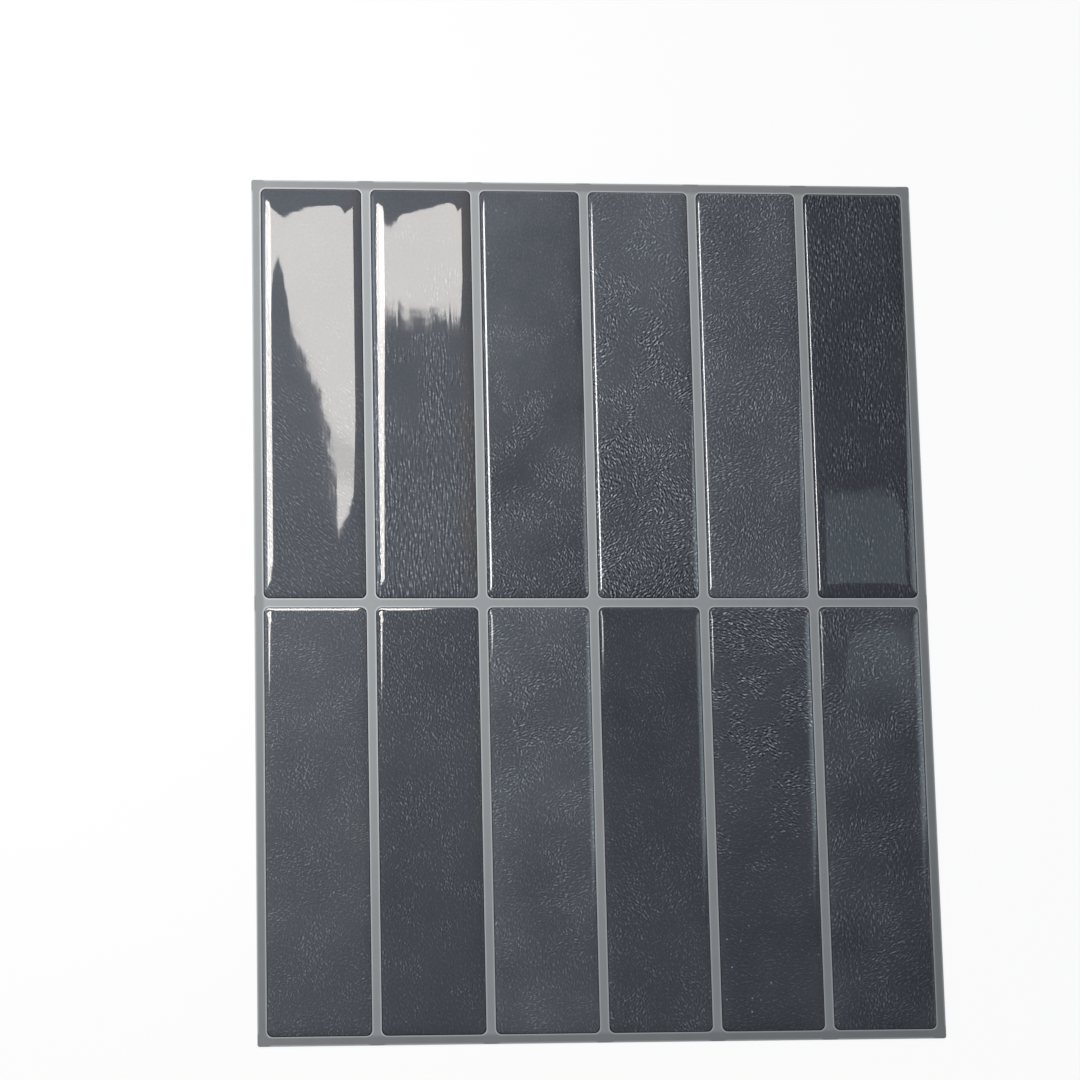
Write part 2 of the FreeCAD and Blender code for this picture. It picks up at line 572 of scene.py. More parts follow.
@dataclass(frozen=True)
class GelFinish:
    """Clear cured gel over the print: a flat gloss with the faint ripples of a poured surface.

    Reaches are in millimetres and depths in metres. The gloss is duller right at the tile's outline.
    """

    slate: SlatePrint = SlatePrint()
    print_roughness: float = 0.55
    print_specular: float = 0.0
    relief_depth: float = 0.035 * MM
    gloss_roughness: float = 0.025
    gel_index: float = 1.5
    ripple_reach: float = 5.0
    ripple_depth: float = 0.003 * MM
    brush_reach: Pair = (0.9, 7.0)
    brush_share: float = 0.16
    edge_dulling: float = 0.8

    def material(
        self, name: str, centre: Vector, half_length: float, look: TilePrint, seed: int
    ) -> bpy.types.Material:
        """Makes the material of one tile.

        Args:
            name: Name of the material.
            centre: Middle of the tile.
            half_length: Half of the tile's length, in millimetres.
            look: What is special to this tile's print.
            seed: Number that sets this print apart from the others.

        Returns:
            The material.
        """
        material, bench = new_material(name)
        colour, relief, place, edge = self.slate.paint(bench, centre, half_length, look, seed)
        ripples = bench.noise(place, self.ripple_reach).outputs["Fac"]
        combed = bench.vector("DIVIDE", place, (*self.brush_reach, 1.0))
        brushed = bench.noise(combed, 1.0, detail=0.0).outputs["Fac"]
        ripples = bench.total(ripples, bench.product(brushed, self.brush_share))
        shader = bench.node(
            "ShaderNodeBsdfPrincipled",
            {
                "Base Color": colour,
                "Roughness": self.print_roughness,
                "Specular IOR Level": self.print_specular,
                "Normal": bench.bump(relief, self.relief_depth),
                "Coat Weight": bench.math("SUBTRACT", 1.0, bench.product(edge, self.edge_dulling)),
                "Coat Roughness": self.gloss_roughness,
                "Coat IOR": self.gel_index,
                "Coat Normal": bench.bump(ripples, self.ripple_depth),
            },
        )
        bench.finish(shader.outputs[0])
        return material


@dataclass(frozen=True)
class TileGrid:
    """Where the tiles lie on the vinyl, in millimetres from the sheet's centre."""

    half_width: float
    half_length: float
    pitch_x: float
    pitch_y: float
    columns: int = 6
    rows: int = 2
    corner_radius: float = TILE_CORNER
    border_blur: float = 0.8

    @classmethod
    def from_frame(cls) -> "TileGrid":
        """Reads the tiles' size and spacing off the frame.

        Returns:
            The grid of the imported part.
        """
        low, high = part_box("gel_tile_row1_column1")
        beside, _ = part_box("gel_tile_row1_column2")
        below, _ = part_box("gel_tile_row2_column1")
        return cls(
            half_width=(high.x - low.x) / 2 / MM,
            half_length=(high.y - low.y) / 2 / MM,
            pitch_x=(beside.x - low.x) / MM,
            pitch_y=(low.y - below.y) / MM,
        )

    def sides(self) -> Tuple[Tuple[str, float, float, int], ...]:
        """The axis, the pitch, half of a tile and the number of tiles, across and along the sheet."""
        across = ("X", self.pitch_x, self.half_width, self.columns)
        return across, ("Y", self.pitch_y, self.half_length, self.rows)

    def outline_distance(self, bench: Bench, place: Socket) -> Socket:
        """How far a point lies outside the nearest tile's outline.

        Args:
            bench: Where the nodes are made.
            place: Place on the sheet.

        Returns:
            The distance's socket.
        """
        apart = bench.split(place)
        squares = []
        for axis, pitch, half, count in self.sides():
            pitches = bench.total(bench.math("DIVIDE", apart.outputs[axis], pitch), count / 2)
            past_middle = bench.math("SUBTRACT", bench.math("FRACT", pitches), 1 / 2)
            from_middle = bench.math("ABSOLUTE", past_middle)
            past_corner = bench.total(bench.product(from_middle, pitch), self.corner_radius - half)
            squares.append(bench.math("POWER", bench.math("MAXIMUM", past_corner, 0.0), 2.0))
        return bench.math("SUBTRACT", bench.math("SQRT", bench.total(*squares)), self.corner_radius)

    def between(self, bench: Bench, place: Socket) -> Socket:
        """How much a point belongs to the joints between tiles, not to the border round them.

        Args:
            bench: Where the nodes are made.
            place: Place on the sheet.

        Returns:
            One in the joints and nought on the border.
        """
        apart = bench.split(place)
        shares = []
        for axis, pitch, half, count in self.sides():
            end = pitch * (count - 1) / 2 + half
            off = bench.math("ABSOLUTE", apart.outputs[axis])
            shares.append(bench.ramp(off, end + self.border_blur, end - self.border_blur))
        return bench.product(*shares)


@dataclass(frozen=True)
class VinylFinish:
    """Grout-coloured vinyl: a printed satin film with a very fine grain, with painted light that makes the
    joints paler.

    Reaches and widths are in millimetres and the depth in metres. A painted highlight line runs round each
    tile.
    """

    colour: Colour = (0.286, 0.303, 0.315)
    dusty: Colour = (0.320, 0.336, 0.346)
    dust_start: float = -0.2
    dust_grain: float = 0.6
    dust_mottle: float = 0.8
    joint_painted_light: float = 0.38
    outline_highlight_gain: float = 0.85
    outline_width: float = 0.70
    outline_core: float = 0.2
    roughness: float = 0.38
    roughness_swing: float = 0.05
    specular: float = 0.4
    grain_reach: float = 0.22
    grain_depth: float = 0.012 * MM
    mottle_reach: float = 6.0
    mottle_edge: Pair = (0.3, 0.7)

    def material(self, name: str, grid: TileGrid) -> bpy.types.Material:
        """Makes the material.

        Args:
            name: Name of the material.
            grid: Where the tiles lie.

        Returns:
            The material.
        """
        material, bench = new_material(name)
        place = millimetres(bench, Vector())
        grain = bench.noise(place, self.grain_reach, detail=2.0, rough=0.6).outputs["Fac"]
        mottle = bench.noise(place, self.mottle_reach, detail=3.0, rough=0.6).outputs["Fac"]
        share = bench.total(
            bench.product(grain, self.dust_grain),
            bench.product(mottle, self.dust_mottle),
            self.dust_start,
        )
        film = bench.blend(share, rgba(self.colour), rgba(self.dusty))
        distance = grid.outline_distance(bench, place)
        # A painted highlight line along each tile's outline
        line = bench.ramp(distance, self.outline_width, self.outline_core * self.outline_width)
        # Painted light lightens the joints between tiles, and a painted highlight runs along each tile's
        # outline
        gain = bench.total(
            1.0,
            bench.product(grid.between(bench, place), self.joint_painted_light),
            bench.product(line, self.outline_highlight_gain),
        )
        rough, swing = self.roughness, self.roughness_swing
        shader = bench.node(
            "ShaderNodeBsdfPrincipled",
            {
                "Base Color": bench.vector("MULTIPLY", film, gain),
                "Roughness": bench.ramp(mottle, *self.mottle_edge, rough - swing, rough + swing),
                "Specular IOR Level": self.specular,
                "Normal": bench.bump(grain, self.grain_depth),
            },
        )
        bench.finish(shader.outputs[0])
        return material


@dataclass(frozen=True)
class PaperFinish:
    """Release paper: off-white, with faint fibres and a thin wax sheen.

    The reach is in millimetres and the depth in metres.
    """

    colour: Colour = (0.83, 0.81, 0.75)
    fibre: Colour = (0.74, 0.71, 0.64)
    roughness: float = 0.6
    wax: float = 0.15
    wax_roughness: float = 0.35
    fibre_reach: float = 0.9
    fibre_stretch: float = 0.3
    fibre_edge: Pair = (0.45, 0.75)
    fibre_depth: float = 0.01 * MM

    def material(self, name: str) -> bpy.types.Material:
        """Makes the material.

        Args:
            name: Name of the material.

        Returns:
            The material.
        """
        material, bench = new_material(name)
        place = millimetres(bench, Vector())
        stretched = bench.vector("MULTIPLY", place, (1.0, self.fibre_stretch, 1.0))
        fibres = bench.noise(stretched, self.fibre_reach, detail=4.0, rough=0.7).outputs["Fac"]
        share = bench.ramp(fibres, *self.fibre_edge)
        shader = bench.node(
            "ShaderNodeBsdfPrincipled",
            {
                "Base Color": bench.blend(share, rgba(self.colour), rgba(self.fibre)),
                "Roughness": self.roughness,
                "Normal": bench.bump(fibres, self.fibre_depth),
                "Coat Weight": self.wax,
                "Coat Roughness": self.wax_roughness,
            },
        )
        bench.finish(shader.outputs[0])
        return material


@dataclass
class GelTile:
    """One poured tile: flat on top, and falling to the vinyl all round in a meniscus.

    Its place and size are the frame's. The rings of the mesh follow the meniscus, and then the flat crown.
    The corners of a ring grow rounder with its inset by the spread, up to the limit's share of its width.
    """

    name: str
    node: str
    look: TilePrint
    seed: int
    corner_radius: float = TILE_CORNER * MM
    corner_spread: float = 0.25
    corner_limit: float = 0.95
    edge_angle: float = math.radians(50.0)
    crown_angle: float = math.radians(0.25)
    slope_rings: int = 32
    crown_step: float = 0.9 * MM
    side_step: float = 1.1 * MM
    corner_steps: int = 9
    ridge_width: float = 0.6 * MM
    wave_reach: float = 22.0 * MM
    wave_height: float = 0.010 * MM
    wave_seed_step: float = 3.1
    wave_finer: float = 2.7
    wave_finer_share: float = 0.4

    def __post_init__(self) -> None:
        """Takes the tile's place and size from the frame."""
        low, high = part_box(self.node)
        self.centre = Vector(((low.x + high.x) / 2, (low.y + high.y) / 2, low.z))
        self.half_width = (high.x - low.x) / 2
        self.half_length = (high.y - low.y) / 2
        self.height = high.z - low.z

    def capillary_length(self) -> float:
        """The length that sets the meniscus, worked out from the gel's height."""
        rise = math.sin(self.edge_angle / 2) - math.sin(self.crown_angle / 2)
        return self.height / (2 * rise)

    def meniscus_point(self, slope: float) -> Tuple[float, float]:
        """Finds where the gel's surface has a slope.

        Args:
            slope: Slope in radians, from the crown's to the edge's.

        Returns:
            The inset from the tile's outline, and the height above the vinyl.
        """
        length = self.capillary_length()

        def run(angle: float) -> float:
            """How far out on the meniscus an angle is, in capillary lengths."""
            return 2 * math.cos(angle / 2) + math.log(math.tan(angle / 4))

        inset = length * (run(self.edge_angle) - run(slope))
        drop = 2 * length * (math.sin(slope / 2) - math.sin(self.crown_angle / 2))
        return inset, self.height - drop

    def ring_levels(self) -> List[Tuple[float, float]]:
        """Lists the rings of the mesh, from the tile's outline to its middle ridge.

        Returns:
            The inset and the height of each ring.
        """
        ratio = self.crown_angle / self.edge_angle
        slopes = [self.edge_angle * ratio ** (k / self.slope_rings) for k in range(self.slope_rings + 1)]
        levels = [self.meniscus_point(slope) for slope in slopes]
        start = levels[-1][0]
        end = self.half_width - self.ridge_width / 2
        count = math.ceil((end - start) / self.crown_step)
        levels += [(start + (end - start) * k / count, self.height) for k in range(1, count + 1)]
        return levels

    def wave(self, x: float, y: float) -> float:
        """Finds how far the set gel stands above or below its ideal surface.

        Args:
            x: Place across the tile, from its centre.
            y: Place along the tile, from its centre.

        Returns:
            The height of the wave there, which may be below nought.
        """
        place = Vector((x / self.wave_reach, y / self.wave_reach, self.wave_seed_step * self.seed))
        finer = self.wave_finer_share * noise.noise(place * self.wave_finer)
        return self.wave_height * (noise.noise(place) + finer)

    def ring(self, inset: float, height: float) -> List[Place]:
        """Makes the points of one ring, anticlockwise from the foot of the right-hand side.

        Args:
            inset: How far the ring lies inside the tile's outline.
            height: Height above the vinyl.

        Returns:
            The points of the ring.
        """
        half_x = self.half_width - inset
        half_y = self.half_length - inset
        radius = min(self.corner_radius + self.corner_spread * inset, self.corner_limit * half_x)
        inner_x = half_x - radius
        inner_y = half_y - radius
        long_count, short_count = self.side_counts()
        points = []
        corners = ((inner_x, inner_y), (-inner_x, inner_y), (-inner_x, -inner_y), (inner_x, -inner_y))
        for side, (corner_x, corner_y) in enumerate(corners):
            before_x, before_y = corners[side - 1]
            count = short_count if side % 2 else long_count
            out = Vector((math.cos(side * math.pi / 2), math.sin(side * math.pi / 2))) * radius
            for k in range(count + 1):
                share = k / count
                x = before_x + (corner_x - before_x) * share + out.x
                y = before_y + (corner_y - before_y) * share + out.y
                points.append((x, y))
            for k in range(1, self.corner_steps):
                turn = (side + k / self.corner_steps) * math.pi / 2
                points.append((corner_x + radius * math.cos(turn), corner_y + radius * math.sin(turn)))
        # The waves die out towards the vinyl
        rise = height / self.height
        return [
            (self.centre.x + x, self.centre.y + y, self.centre.z + height + rise * rise * self.wave(x, y))
            for x, y in points
        ]

    def side_counts(self) -> Tuple[int, int]:
        """How many steps the long and the short sides of a ring have."""
        return round(2 * self.half_length / self.side_step), round(2 * self.half_width / self.side_step)

    def faces(self, ring_count: int, count: int) -> List[Tuple[int, ...]]:
        """Lists the faces: the underside first, then the bands between the rings, and the middle ridge.

        Args:
            ring_count: How many rings the mesh has.
            count: How many points a ring has.

        Returns:
            The numbers of each face's points.
        """
        long_count, short_count = self.side_counts()
        faces = [tuple(range(count - 1, -1, -1))]
        for k in range(ring_count - 1):
            outer, inner = k * count, (k + 1) * count
            for i in range(count):
                j = (i + 1) % count
                faces.append((outer + i, outer + j, inner + j, inner + i))
        ridge = (ring_count - 1) * count
        left = long_count + short_count + 2 * self.corner_steps
        for i in range(long_count):
            across = left + long_count - i
            faces.append(tuple(ridge + k for k in (i, i + 1, across - 1, across)))
        faces.append(tuple(ridge + k for k in range(long_count, left + 1)))
        faces.append(tuple(ridge + k % count for k in range(left + long_count, count + 1)))
        return faces

    def build_mesh(self) -> bpy.types.Mesh:
        """Makes the closed mesh of the tile, smooth all over but for its flat underside.

        Returns:
            The mesh, with each point's inset from the outline as an attribute.
        """
        levels = self.ring_levels()
        # The outline lies right on the vinyl, whatever the rounding
        rings = [self.ring(inset, height if k else 0.0) for k, (inset, height) in enumerate(levels)]
        count = len(rings[0])
        faces = self.faces(len(rings), count)
        mesh = bpy.data.meshes.new(self.name)
        mesh.from_pydata([point for ring in rings for point in ring], [], faces)
        mesh.polygons.foreach_set("use_smooth", [index > 0 for index in range(len(faces))])
        insets = mesh.attributes.new("edge_inset", "FLOAT", "POINT")
        insets.data.foreach_set("value", [inset for inset, height in levels for _ in range(count)])
        mesh.update()
        return mesh

    def dress(self, finish: GelFinish) -> bpy.types.Object:
        """Puts the tile in the scene in its finish.

        Args:
            finish: Finish of the gel and its print.

        Returns:
            The tile's object, which stands for the plain node.
        """
        tile = bpy.data.objects.new(self.name, self.build_mesh())
        bpy.context.scene.collection.objects.link(tile)
        material = finish.material(
            f"{self.name}_print", self.centre, self.half_length / MM, self.look, self.seed
        )
        tile.data.materials.append(material)
        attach(tile, BODY)
        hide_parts(self.node)
        return tile


@dataclass
class TileField:
    """The twelve gel tiles in their two rows, each with a print of its own."""

    finish: GelFinish = GelFinish()
    looks: Tuple[Tuple[TilePrint, ...], ...] = (
        (
            TilePrint(
                tone=0.36, flow=Flow.LEANING_LEFT, length=1.8, streaks=0.32, gather=-1.2, cloud=0.08,
                swirl=0.2, warmth=0.3, bare=0.15, specks=0.0,
            ),
            TilePrint(
                tone=0.38, flow=Flow.UPRIGHT, length=3.4, streaks=0.70, gather=-1.1, cloud=0.12,
                swirl=0.06, warmth=0.8, specks=0.0,
            ),
            TilePrint(
                tone=0.36, flow=Flow.STEEP_RIGHT, length=0.9, streaks=0.88, gather=-0.85, cloud=0.25,
                swirl=0.4, warmth=0.1, bare=0.35, fall=0.05,
            ),
            TilePrint(
                tone=0.42, flow=Flow.STEEP_RIGHT, length=1.1, streaks=1.50, gather=-0.7, cloud=0.15,
                swirl=0.6, fall=0.10,
            ),
            TilePrint(
                tone=0.44, flow=Flow.LEANING_RIGHT, length=1.0, streaks=0.95, gather=0.0, cloud=0.18,
                swirl=0.4,
            ),
            TilePrint(
                tone=0.19, flow=Flow.UPRIGHT, length=1.9, streaks=0.66, gather=0.5, cloud=0.08,
                swirl=0.04,
            ),
        ),
        (
            TilePrint(
                tone=0.405, flow=Flow.LEANING_RIGHT, length=0.8, streaks=0.42, gather=0.2, cloud=0.12,
                swirl=0.6, fall=0.02,
            ),
            TilePrint(
                tone=0.295, flow=Flow.UPRIGHT, length=1.0, streaks=0.45, gather=0.6, cloud=0.08,
                swirl=0.1,
            ),
            TilePrint(
                tone=0.45, flow=Flow.LEANING_RIGHT, length=0.95, streaks=0.80, gather=0.5, cloud=0.22,
                swirl=0.6, bare=0.15,
            ),
            TilePrint(
                tone=0.25, flow=Flow.UPRIGHT, length=0.9, streaks=0.44, gather=-0.4, cloud=0.10,
                swirl=0.5, bare=0.25, fall=-0.05, specks=1.6,
            ),
            TilePrint(
                tone=0.275, flow=Flow.LEVEL, length=1.2, streaks=1.35, gather=0.85, cloud=0.12,
                swirl=0.3, bare=0.5, fall=0.05, specks=2.6,
            ),
            TilePrint(
                tone=0.29, flow=Flow.LEANING_RIGHT, length=1.3, streaks=0.84, gather=0.4, cloud=0.20,
                swirl=0.5, bare=0.3, fall=0.04,
            ),
        ),
    )

    def build(self) -> Tiles:
        """Makes every tile, row by row.

        Returns:
            The tiles' objects by row and column.
        """
        tiles = {}
        for row, looks in enumerate(self.looks, start=1):
            for column, look in enumerate(looks, start=1):
                tile = GelTile(
                    name=f"gel_row{row}_column{column}",
                    node=f"gel_tile_row{row}_column{column}",
                    look=look,
                    seed=len(tiles),
                )
                tiles[row, column] = tile.dress(self.finish)
                log.info("%s: %d faces", tile.name, len(tiles[row, column].data.polygons))
        return tiles


@dataclass
class SheetLayers:
    """The two flat layers under the tiles, whose shapes are the frame's own."""

    vinyl: VinylFinish = VinylFinish()
    paper: PaperFinish = PaperFinish()

    def dress(self) -> None:
        """Gives both layers their finishes."""
        finishes = {
            "grout_vinyl_sheet": self.vinyl.material("grout_vinyl_satin", TileGrid.from_frame()),
            "release_liner": self.paper.material("release_paper_wax"),
        }
        for node, material in finishes.items():
            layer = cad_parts[node]
            for slot in layer.material_slots:
                slot.material = material
            log.info("%s: dressed in %s", node, material.name)


@dataclass
class Panel:
    """A luminous panel that shows in the gloss alone and hides nothing behind it.

    Attributes:
        name: Name of the panel.
        corners: Its corners, in order.
        radiance: How strongly it shines.
        colour: Colour of its light.
        fade: Over what way in y it fades out at its lower end.
        upper_share: How much of that way it takes at its upper end.
        ragged: How far the lower end is frayed.
        fray_reach: Size of one tooth of the fray.
        fray_stretch: How much less the fray changes in y than in x.
        fray_edge: Levels of its noise at which the fray starts and ends.
        bar: Where in y a dimmer bar crosses it, if one does.
        bar_half: Half of the bar's width.
        bar_core: Share of the bar's width that is fully dimmed.
        bar_share: How much of the light the bar leaves.
        dim_above: Height from which it fades out towards its top, or nought for none.
    """

    name: str
    corners: Tuple[Place, ...]
    radiance: float
    colour: Colour = (1.0, 1.0, 1.0)
    fade: float = 0.002
    upper_share: float = 0.5
    ragged: float = 0.0
    fray_reach: float = 0.012
    fray_stretch: float = 0.1
    fray_edge: Pair = (0.3, 0.7)
    bar: Optional[float] = None
    bar_half: float = 0.020
    bar_core: float = 0.5
    bar_share: float = 0.78
    dim_above: float = 0.0

    def strength(self, bench: Bench) -> Socket:
        """How strongly the panel shines at a point.

        Args:
            bench: Where the nodes are made.

        Returns:
            The radiance's socket.
        """
        place = bench.node("ShaderNodeTexCoord").outputs["Object"]
        along = bench.split(place).outputs["Y"]
        low = min(y for _, y, _ in self.corners)
        high = max(y for _, y, _ in self.corners)
        lower_line = low
        if self.ragged:
            stretched = bench.vector("MULTIPLY", place, (1.0, self.fray_stretch, 1.0))
            fray = bench.noise(stretched, self.fray_reach, detail=3.0, rough=0.65).outputs["Fac"]
            lower_line = bench.ramp(fray, *self.fray_edge, low, low + self.ragged)
        lower = bench.ramp(bench.math("SUBTRACT", along, lower_line), 0.0, self.fade)
        upper = bench.ramp(along, high, high - self.upper_share * self.fade)
        strength = bench.product(lower, upper, self.radiance)
        if self.bar is not None:
            off = bench.math("ABSOLUTE", bench.math("SUBTRACT", along, self.bar))
            beside = bench.ramp(off, self.bar_core * self.bar_half, self.bar_half, self.bar_share)
            strength = bench.product(strength, beside)
        if self.dim_above:
            top = max(z for _, _, z in self.corners)
            below = bench.ramp(bench.split(place).outputs["Z"], top, self.dim_above)
            strength = bench.product(strength, below)
        return strength

    def build(self, receivers: Sequence[bpy.types.Object]) -> None:
        """Makes the panel.

        Args:
            receivers: The only pieces that show it.
        """
        mesh = bpy.data.meshes.new(self.name)
        mesh.from_pydata(self.corners, [], [range(len(self.corners))])
        mesh.update()
        material, bench = new_material(self.name)
        shine = {"Color": rgba(self.colour), "Strength": self.strength(bench)}
        emission = bench.node("ShaderNodeEmission", shine)
        clear = bench.node("ShaderNodeBsdfTransparent")
        both = bench.node("ShaderNodeAddShader", {0: emission.outputs[0], 1: clear.outputs[0]})
        bench.finish(both.outputs[0])
        mesh.materials.append(material)
        panel = bpy.data.objects.new(self.name, mesh)
        panel.visible_camera = False
        panel.visible_diffuse = False
        panel.visible_shadow = False
        bpy.context.scene.collection.objects.link(panel)
        group = bpy.data.collections.new(f"{self.name}_receivers")
        for piece in receivers:
            group.objects.link(piece)
        panel.light_linking.receiver_collection = group


def at_height(outline: Outline, height: float) -> Tuple[Place, ...]:
    """The points of a flat outline, at one height."""
    return tuple((x, y, height) for x, y in outline)


@dataclass
class Studio:
    """A white floor, a soft lamp at the upper left, the windows that the gloss shows, and a plain room.

    A flat outline gives the corners of a panel that lies level above the sheet, in x and y. The lamp's faces
    lie at the lamp's height and the windows at the window height, each a gap above the one before it. Two
    windows stand upright, beyond the sheet's upper side and its right-hand side.
    """

    floor_half: float = 15.0
    floor_drop: float = 0.05 * MM
    floor_glow: float = 0.92
    floor_seen: float = 0.09
    floor_plain: float = 0.75
    room_overhead: Colour = (0.235, 0.25, 0.27)
    room_horizon: Colour = (1.0, 1.0, 1.0)
    room_edge: Pair = (0.08, 0.45)
    lamp_place: Place = (-0.25, 0.14, 0.30)
    lamp_size: Pair = (0.10, 0.22)
    lamp_radiance: float = 17.0
    lamp_colour: Colour = (1.0, 0.975, 0.94)
    face_radiance: float = 26.0
    low_face_share: float = 0.55
    near_face: Outline = ((-0.30, 0.03), (-0.20, 0.03), (-0.20, 0.262), (-0.30, 0.262))
    far_face: Outline = ((-0.30, 0.055), (-0.20, 0.055), (-0.20, 0.285), (-0.30, 0.285))
    window_height: float = 1.3
    window_gap: float = 0.002
    window_columns: int = 2
    window_radiance: float = 12.8
    window_colour: Colour = (1.0, 0.95, 0.90)
    window_bar: float = 0.368
    side_radiance: float = 20.0
    sky_radiance: float = 0.9
    bright_sky: float = 3.0
    dim_sky: float = 0.6
    sky_colour: Colour = (0.78, 0.98, 1.08)
    plain_fade: float = 0.003
    frayed_fade: float = 0.008
    frayed_depth: float = 0.018
    sky_fade: float = 0.03
    right_dimming: float = 0.15
    window_one: Outline = (
        (-0.42, 0.562), (-0.36, 0.555), (-0.19, 0.5444), (-0.099, 0.5433), (-0.058, 0.5433), (-0.044, 0.556),
        (-0.035, 0.5605), (-0.031, 0.578), (-0.022, 0.602), (-0.011, 0.609), (-0.004, 0.606), (0.05, 0.552),
        (0.063, 0.550), (0.22, 0.559), (0.36, 0.571), (0.36, 0.42), (0.20, 0.35), (0.02, 0.325),
        (-0.006, 0.316), (-0.012, 0.345), (-0.017, 0.383), (-0.028, 0.421), (-0.044, 0.471),
        (-0.075, 0.500), (-0.11, 0.510), (-0.25, 0.502), (-0.42, 0.47),
    )
    window_two: Outline = (
        (-0.34, 0.556), (-0.23, 0.5465), (-0.05, 0.5353), (0.0, 0.535), (0.008, 0.540), (0.022, 0.5405),
        (0.035, 0.5536), (0.041, 0.5545), (0.051, 0.573), (0.060, 0.598), (0.073, 0.677), (0.19, 0.556),
        (0.30, 0.563), (0.375, 0.571), (0.36, 0.51), (0.17, 0.458), (-0.12, 0.458), (-0.34, 0.458),
    )
    sheen_window: Outline = ((-0.12, 0.36), (0.09, 0.36), (0.09, 0.56), (-0.12, 0.54))
    side_one: Outline = ((-1.10, 0.30), (-0.36, 0.30), (-0.36, 0.62), (-1.10, 0.62))
    side_two: Outline = ((-0.80, 0.285), (-0.34, 0.285), (-0.14, 0.46), (-0.12, 0.585), (-0.80, 0.585))
    side_sky: Outline = ((-2.4, 0.20), (-1.35, 0.20), (-1.35, 0.90), (-2.4, 0.90))
    side_low: Outline = (
        (-0.98, 0.252), (-0.82, 0.252), (-0.42, 0.30), (-0.42, 0.75), (-0.35, 0.95), (-0.62, 1.20),
        (-1.15, 0.75),
    )
    far_window: Outline = ((0.03, 0.155), (0.59, 0.155), (0.59, 0.355), (0.10, 0.350), (0.03, 0.32))
    cloud_window: Outline = ((0.31, 0.19), (0.62, 0.19), (0.62, 0.28), (0.36, 0.28))
    low_window: Tuple[Place, ...] = (
        (-1.0, 0.6, 0.04), (-0.004, 0.6, 0.04), (-0.004, 0.64, 0.44), (-1.0, 0.64, 0.44),
    )
    right_window: Tuple[Place, ...] = (
        (0.5, -0.03, 0.06), (0.5, 0.20, 0.06), (0.5, 0.20, 0.80), (0.5, -0.03, 0.80),
    )

    def build_floor(self) -> None:
        """Makes the floor, which reads as a white backdrop and keeps the sheet's shadow."""
        half = self.floor_half
        mesh = bpy.data.meshes.new("floor")
        corners = ((-half, -half), (half, -half), (half, half), (-half, half))
        mesh.from_pydata(at_height(corners, -self.floor_drop), [], [range(len(corners))])
        mesh.update()
        material, bench = new_material("floor_white")
        path = bench.node("ShaderNodeLightPath")
        seen = bench.math("MAXIMUM", path.outputs["Is Camera Ray"], path.outputs["Is Glossy Ray"])
        seen = bench.math("MAXIMUM", seen, path.outputs["Is Transmission Ray"])
        plain = bench.node("ShaderNodeBsdfDiffuse", {"Color": rgba((self.floor_plain,) * 3)})
        pale = bench.node("ShaderNodeBsdfDiffuse", {"Color": rgba((self.floor_seen,) * 3)})
        glow = bench.node("ShaderNodeEmission", {"Strength": self.floor_glow})
        white = bench.node("ShaderNodeAddShader", {0: pale.outputs[0], 1: glow.outputs[0]})
        both = bench.node("ShaderNodeMixShader", {0: seen, 1: plain.outputs[0], 2: white.outputs[0]})
        bench.finish(both.outputs[0])
        mesh.materials.append(material)
        floor = bpy.data.objects.new("floor", mesh)
        bpy.context.scene.collection.objects.link(floor)

    def build_room(self) -> None:
        """Makes the world: white at the horizon and grey overhead."""
        world = bpy.data.worlds.new("room")
        world.use_nodes = True
        bpy.context.scene.world = world
        bench = Bench(world.node_tree)
        direction = bench.node("ShaderNodeTexCoord").outputs["Generated"]
        up = bench.split(direction).outputs["Z"]
        share = bench.ramp(up, *self.room_edge)
        colour = bench.blend(share, rgba(self.room_horizon), rgba(self.room_overhead))
        background = bench.node("ShaderNodeBackground", {"Color": colour, "Strength": 1.0})
        bench.finish(background.outputs[0], "ShaderNodeOutputWorld")

    def build_lamp(self) -> None:
        """Makes the soft lamp, which lights the sheet from the upper left."""
        light = bpy.data.lights.new("lamp", "AREA")
        light.shape = "RECTANGLE"
        light.size, light.size_y = self.lamp_size
        light.color = self.lamp_colour
        light.energy = self.lamp_radiance * math.pi * self.lamp_size[0] * self.lamp_size[1]
        lamp = bpy.data.objects.new("lamp", light)
        lamp.location = self.lamp_place
        lamp.visible_camera = False
        lamp.visible_glossy = False
        bpy.context.scene.collection.objects.link(lamp)

    def build_lamp_faces(self, tiles: Tiles) -> None:
        """Makes the lamp's faces, which the tiles show as bright strips along their left-hand edges.

        Args:
            tiles: The tiles by row and column.
        """
        low_right = [
            tile for (row, column), tile in tiles.items() if row == 2 and column > self.window_columns
        ]
        low_radiance = self.low_face_share * self.face_radiance
        faces = (
            ("near_face", self.near_face, self.face_radiance, [tiles[1, 3], tiles[1, 4]]),
            ("far_face", self.far_face, self.face_radiance, [tiles[1, 5], tiles[1, 6]]),
            ("low_face", self.far_face, low_radiance, low_right),
        )
        for index, (name, outline, radiance, receivers) in enumerate(faces):
            height = self.lamp_place[2] + index * self.window_gap
            Panel(name, at_height(outline, height), radiance).build(receivers)

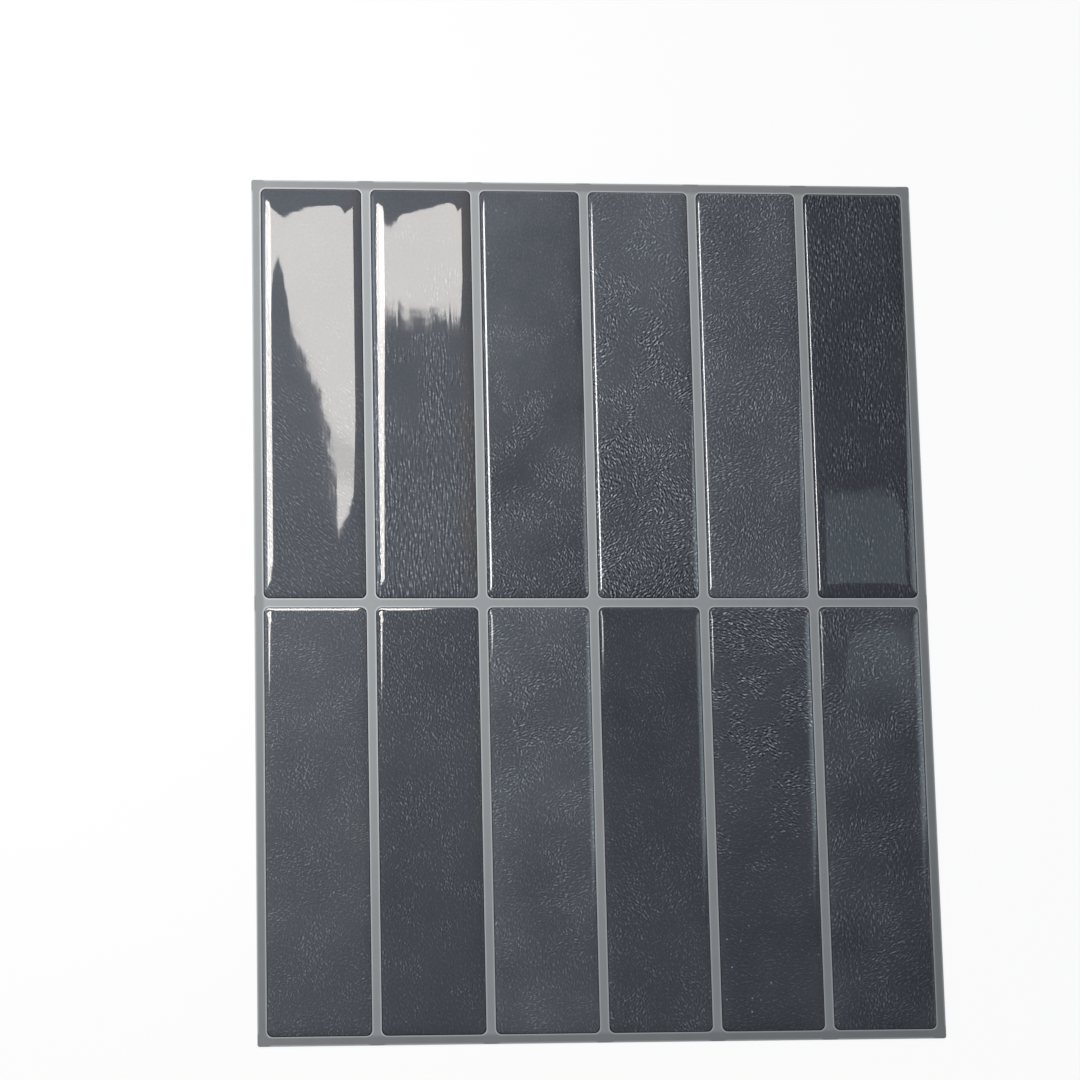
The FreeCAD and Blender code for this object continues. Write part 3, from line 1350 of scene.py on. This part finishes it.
    def build_windows(self, tiles: Tiles) -> None:
        """Makes the windows and the strips of sky, each for the pieces that show it.

        Args:
            tiles: The tiles by row and column.
        """
        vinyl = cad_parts["grout_vinyl_sheet"]
        first, second = tiles[1, 1], tiles[1, 2]
        low_left = [tiles[2, 1], tiles[2, 2]]
        right_side = [tile for (_, column), tile in tiles.items() if column > self.window_columns]
        warm, cool = self.window_colour, self.sky_colour
        window, side, sky = self.window_radiance, self.side_radiance, self.sky_radiance
        bright, dim = self.bright_sky * sky, self.dim_sky * sky
        plain = {"fade": self.plain_fade}
        barred = {"fade": self.plain_fade, "bar": self.window_bar}
        frayed = {"fade": self.frayed_fade, "ragged": self.frayed_depth}
        soft = {"fade": self.sky_fade}
        dimmed = {"fade": self.sky_fade, "dim_above": self.right_dimming}
        level_windows = (
            ("window_one", self.window_one, window, warm, [first], barred),
            ("window_two", self.window_two, window, warm, [second], frayed),
            ("sheen_window", self.sheen_window, window, warm, [vinyl], plain),
            ("side_one", self.side_one, side, warm, [first], plain),
            ("side_two", self.side_two, side, warm, [second], plain),
            ("side_sky", self.side_sky, bright, cool, [first, second], soft),
            ("side_low", self.side_low, side, warm, low_left, plain),
            ("far_window", self.far_window, sky, cool, [tiles[1, 6]], soft),
            ("cloud_window", self.cloud_window, dim, cool, [tiles[2, 6]], soft),
        )
        for index, (name, outline, radiance, colour, receivers, ends) in enumerate(level_windows):
            corners = at_height(outline, self.window_height + index * self.window_gap)
            Panel(name, corners, radiance, colour, **ends).build(receivers)
        Panel("low_window", self.low_window, side, warm).build(low_left)
        Panel("right_window", self.right_window, bright, cool, **dimmed).build(right_side + [vinyl])

    def build(self, tiles: Tiles) -> None:
        """Makes the whole studio.

        Args:
            tiles: The tiles by row and column.
        """
        self.build_floor()
        self.build_room()
        self.build_lamp()
        self.build_lamp_faces(tiles)
        self.build_windows(tiles)
        log.info("studio: floor, room, lamp and windows")


@dataclass
class PhotoCamera:
    """The camera of the photograph, nearly straight above the sheet.

    Its place and its look and up directions put the sheet's corners where the photograph has them.
    """

    place: Place = (-0.1695, -0.2793, 1.3516)
    look: Place = (0.1086, 0.2166, -0.9702)
    up: Place = (-0.0011, 0.976, 0.2178)
    focal_pixels: float = 4000.0
    frame_pixels: float = 1080.0
    sensor_width: float = 36.0
    clip_start: float = 0.01
    clip_end: float = 100.0

    def build(self) -> None:
        """Makes the camera and gives it to the scene."""
        data = bpy.data.cameras.new("photo_camera")
        data.sensor_width = self.sensor_width
        data.lens = self.sensor_width * self.focal_pixels / self.frame_pixels
        data.clip_start = self.clip_start
        data.clip_end = self.clip_end
        ahead = Vector(self.look).normalized()
        right = ahead.cross(Vector(self.up)).normalized()
        above = right.cross(ahead)
        turn = Matrix((right, above, -ahead)).transposed().to_4x4()
        camera = bpy.data.objects.new("photo_camera", data)
        camera.matrix_world = Matrix.Translation(self.place) @ turn
        bpy.context.scene.collection.objects.link(camera)
        bpy.context.scene.camera = camera
        log.info("camera: %.1f mm lens", data.lens)


def main() -> None:
    """Builds the sheet, the studio and the camera."""
    logging.basicConfig(level=logging.INFO, format="%(name)s: %(message)s")
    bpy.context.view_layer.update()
    bpy.context.scene.view_settings.view_transform = "Standard"
    PhotoCamera().build()
    SheetLayers().dress()
    tiles = TileField().build()
    Studio().build(tiles)


if __name__ == "__main__":
    main()
